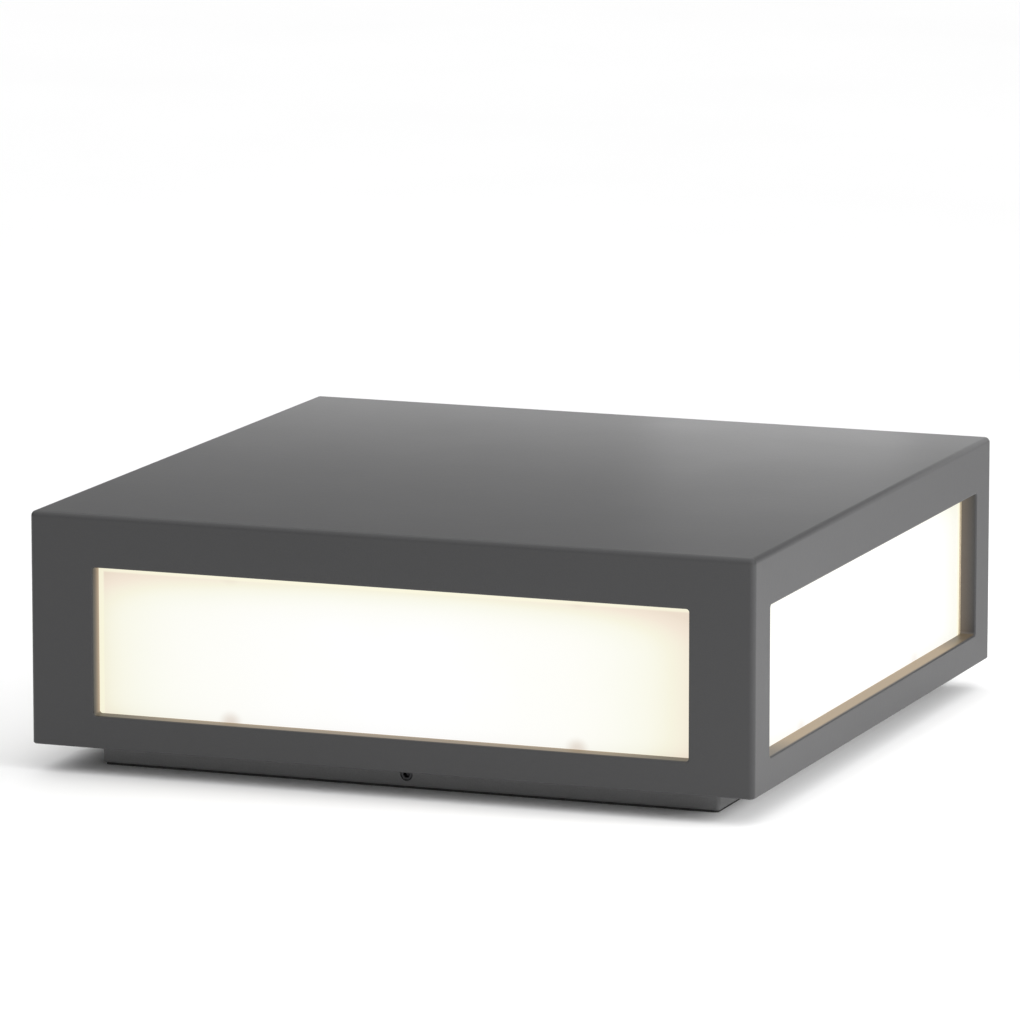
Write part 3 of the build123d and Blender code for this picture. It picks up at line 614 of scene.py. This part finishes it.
# A fillet's outline, as how far out and how high, and its shares of the package's width with its size there.
SOLDER_CURVE = ((0.0, 0.0), (0.45, 0.0), (0.20, 0.10), (0.08, 0.24), (0.0, 0.42))
SOLDER_ENDS = ((-1.0, 0.6), (-0.85, 1.0), (0.85, 1.0), (1.0, 0.6))
FILLET_WIDTH = 0.8  # share of the package's end
# The radius and height of each ring of a wire link's joint.
JOINT_RINGS = ((1.5, 0.0), (1.4, 0.16), (1.1, 0.5), (0.7, 0.8), (0.3, 0.92))
JOINT_INSET = 0.6 * MM  # from a link's end to the middle of its joint


def package_rings(low, high, rows, round_cup):
    """The rings of one LED package or of the cup in its middle, which is as wide as it is long."""
    middle = (low + high) / 2
    half = (high - low) / 2
    shorter = min(half.x, half.y)
    for inset, share, power in rows:
        wide, deep = (shorter, shorter) if round_cup else (half.x, half.y)
        yield ring(middle, wide - inset * MM, deep - inset * MM, low.z + share * (high.z - low.z), power)


def add_end_solder(mesh, low, high):
    """A hollow-curved fillet of solder at each end of a package."""
    middle = (low + high) / 2
    half = (high - low) / 2
    long_axis = 0 if half.x > half.y else 1
    for facing in (-1, 1):
        rings = []
        for share, scale in SOLDER_ENDS:
            points = []
            for out, up in SOLDER_CURVE:
                point = middle.copy()
                point[long_axis] += facing * (half[long_axis] + out * scale * MM)
                point[1 - long_axis] += share * FILLET_WIDTH * half[1 - long_axis]
                point.z = low.z + up * scale * MM
                points.append(point)
            rings.append(points)
        skin(mesh, rings)


def add_led_packages():
    """The LED packages with a lens in each, and the solder at their ends and on the wire links."""
    bodies, lenses, solder = bmesh.new(), bmesh.new(), bmesh.new()
    for low, high in solids_of("led_chips"):
        outer = list(package_rings(low, high, PACKAGE_RINGS, round_cup=False))
        cup = list(package_rings(low, high, CUP_RINGS, round_cup=True))
        skin(bodies, outer + cup)
        skin(lenses, list(package_rings(low, high, LENS_RINGS, round_cup=True)))
        add_end_solder(solder, low, high)
    for low, high in solids_of("board_links"):
        for end in (low.y + JOINT_INSET, high.y - JOINT_INSET):
            foot = Vector(((low.x + high.x) / 2, end, 0))
            rings = [ring(foot, r * MM, r * MM, BOARD_TOP + up * MM, count=20) for r, up in JOINT_RINGS]
            skin(solder, rings)
    add_piece("led_packages", bodies, "driver_plastic", "base")
    add_piece("led_lenses", lenses, "led_phosphor", "base", "led_chips")
    add_piece("solder_joints", solder, "tinned_copper", "base")


# ---------------------------------------------------------------- base seal
BEAD_WIDTH = 2.6 * MM
BEAD_SIDE = 0.35  # the share of its height at which its sides start to round over
BEAD_CORNER = 1.5 * MM
CROWN_STEPS = 8
CORNER_STEPS = 6


def add_seal_bead():
    """The sponge seal in the plinth's groove: a D-shaped cord pushed round four tight corners."""
    low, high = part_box("base_seal")
    height = high.z - low.z
    half_width = BEAD_WIDTH / 2
    outline = [(half_width, 0.0)]
    for step in range(CROWN_STEPS + 1):
        angle = math.pi * step / CROWN_STEPS
        rise = BEAD_SIDE + (1 - BEAD_SIDE) * math.sin(angle)
        outline.append((half_width * math.cos(angle), rise * height))
    outline.append((-half_width, 0.0))
    turn_middle = high.x - half_width - BEAD_CORNER
    rings = []
    for x, y, start in ((1, 1, 0), (-1, 1, 90), (-1, -1, 180), (1, -1, 270)):
        for step in range(CORNER_STEPS + 1):
            angle = math.radians(start + 90 * step / CORNER_STEPS)
            across = Vector((math.cos(angle), math.sin(angle), 0))
            corner = Vector((x * turn_middle, y * turn_middle, low.z))
            points = [corner + across * (BEAD_CORNER + out) + Vector((0, 0, up)) for out, up in outline]
            rings.append(points)
    mesh = bmesh.new()
    skin(mesh, [*rings, rings[0]], capped=False)
    add_piece("base_seal_bead", mesh, "silicone", "base", "base_seal")


# ---------------------------------------------------------------- lock screws
PITCH = 0.8 * MM
THREAD_DEPTH = 0.45 * MM
SOCKET_FLAT = 1.25 * MM  # from the axis to a flat of the hexagon
SOCKET_DEPTH = 3.0 * MM
DRILL_POINT = 0.5 * MM  # the socket's drilled end, below its flats
SOCKET_CHAMFER = 0.12 * MM
MOUTH_CHAMFER = 0.4 * MM
POINT_CHAMFER = 0.9 * MM
RING_STEP = 0.1 * MM
RING_COUNT = 48


def add_lock_screw(side, facing):
    """A hexagon socket set screw with a real helical thread and a coned point."""
    low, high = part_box(f"lock_screw_{side}")
    crest = (high.z - low.z) / 2
    length = high.y - low.y
    mouth = high.y if facing > 0 else low.y

    def round_ring(depth, radius_at):
        points = []
        for step in range(RING_COUNT):
            angle = math.tau * step / RING_COUNT
            radius = radius_at(angle)
            across, up = radius * math.cos(angle), radius * math.sin(angle)
            points.append((across, mouth - facing * depth, (low.z + high.z) / 2 + up))
        return points

    def hexagon(scale):
        sixth = math.tau / 6
        return lambda angle: scale * SOCKET_FLAT / math.cos(angle % sixth - sixth / 2)

    def threaded(depth):
        trim = max(0.0, MOUTH_CHAMFER - depth, depth - length + POINT_CHAMFER)

        def radius_at(angle):
            wave = abs((depth / PITCH + angle / math.tau) % 1.0 - 0.5) * 2
            share = min(1.0, max(0.0, 1.3 * wave - 0.15))
            return min(crest - trim, crest - THREAD_DEPTH * share)

        return radius_at

    rings = [
        round_ring(SOCKET_DEPTH + DRILL_POINT, hexagon(0.2)),
        round_ring(SOCKET_DEPTH, hexagon(1.0)),
        round_ring(SOCKET_CHAMFER, hexagon(1.0)),
        round_ring(0.0, hexagon(1.06)),
    ]
    for step in range(round(length / RING_STEP) + 1):
        rings.append(round_ring(step * RING_STEP, threaded(step * RING_STEP)))
    mesh = bmesh.new()
    skin(mesh, rings)
    node = f"lock_screw_{side}"
    add_piece(f"threaded_{node}", mesh, "black_steel", node, node)


# ---------------------------------------------------------------- floor
def add_floor():
    """A plain white floor."""
    mesh = bpy.data.meshes.new("floor")
    corners = [(x * FLOOR_HALF, y * FLOOR_HALF, 0) for x, y in ((-1, -1), (1, -1), (1, 1), (-1, 1))]
    mesh.from_pydata(corners, [], [(0, 1, 2, 3)])
    floor = bpy.data.objects.new("floor", mesh)
    bpy.context.scene.collection.objects.link(floor)
    look = Look("floor_paint")
    cloud = look.span(look.noise(3.0, 3.0), 0.3, 0.7)
    base = look.blend(cloud, (0.93, 0.93, 0.93), (0.95, 0.95, 0.95))
    paint(floor, look.finish(Base_Color=base, Roughness=0.7))


# ---------------------------------------------------------------- the scene
add_studio()
paint_frame()
add_led_packages()
add_seal_bead()
add_lock_screw("front", facing=-1)
add_lock_screw("back", facing=1)
add_floor()
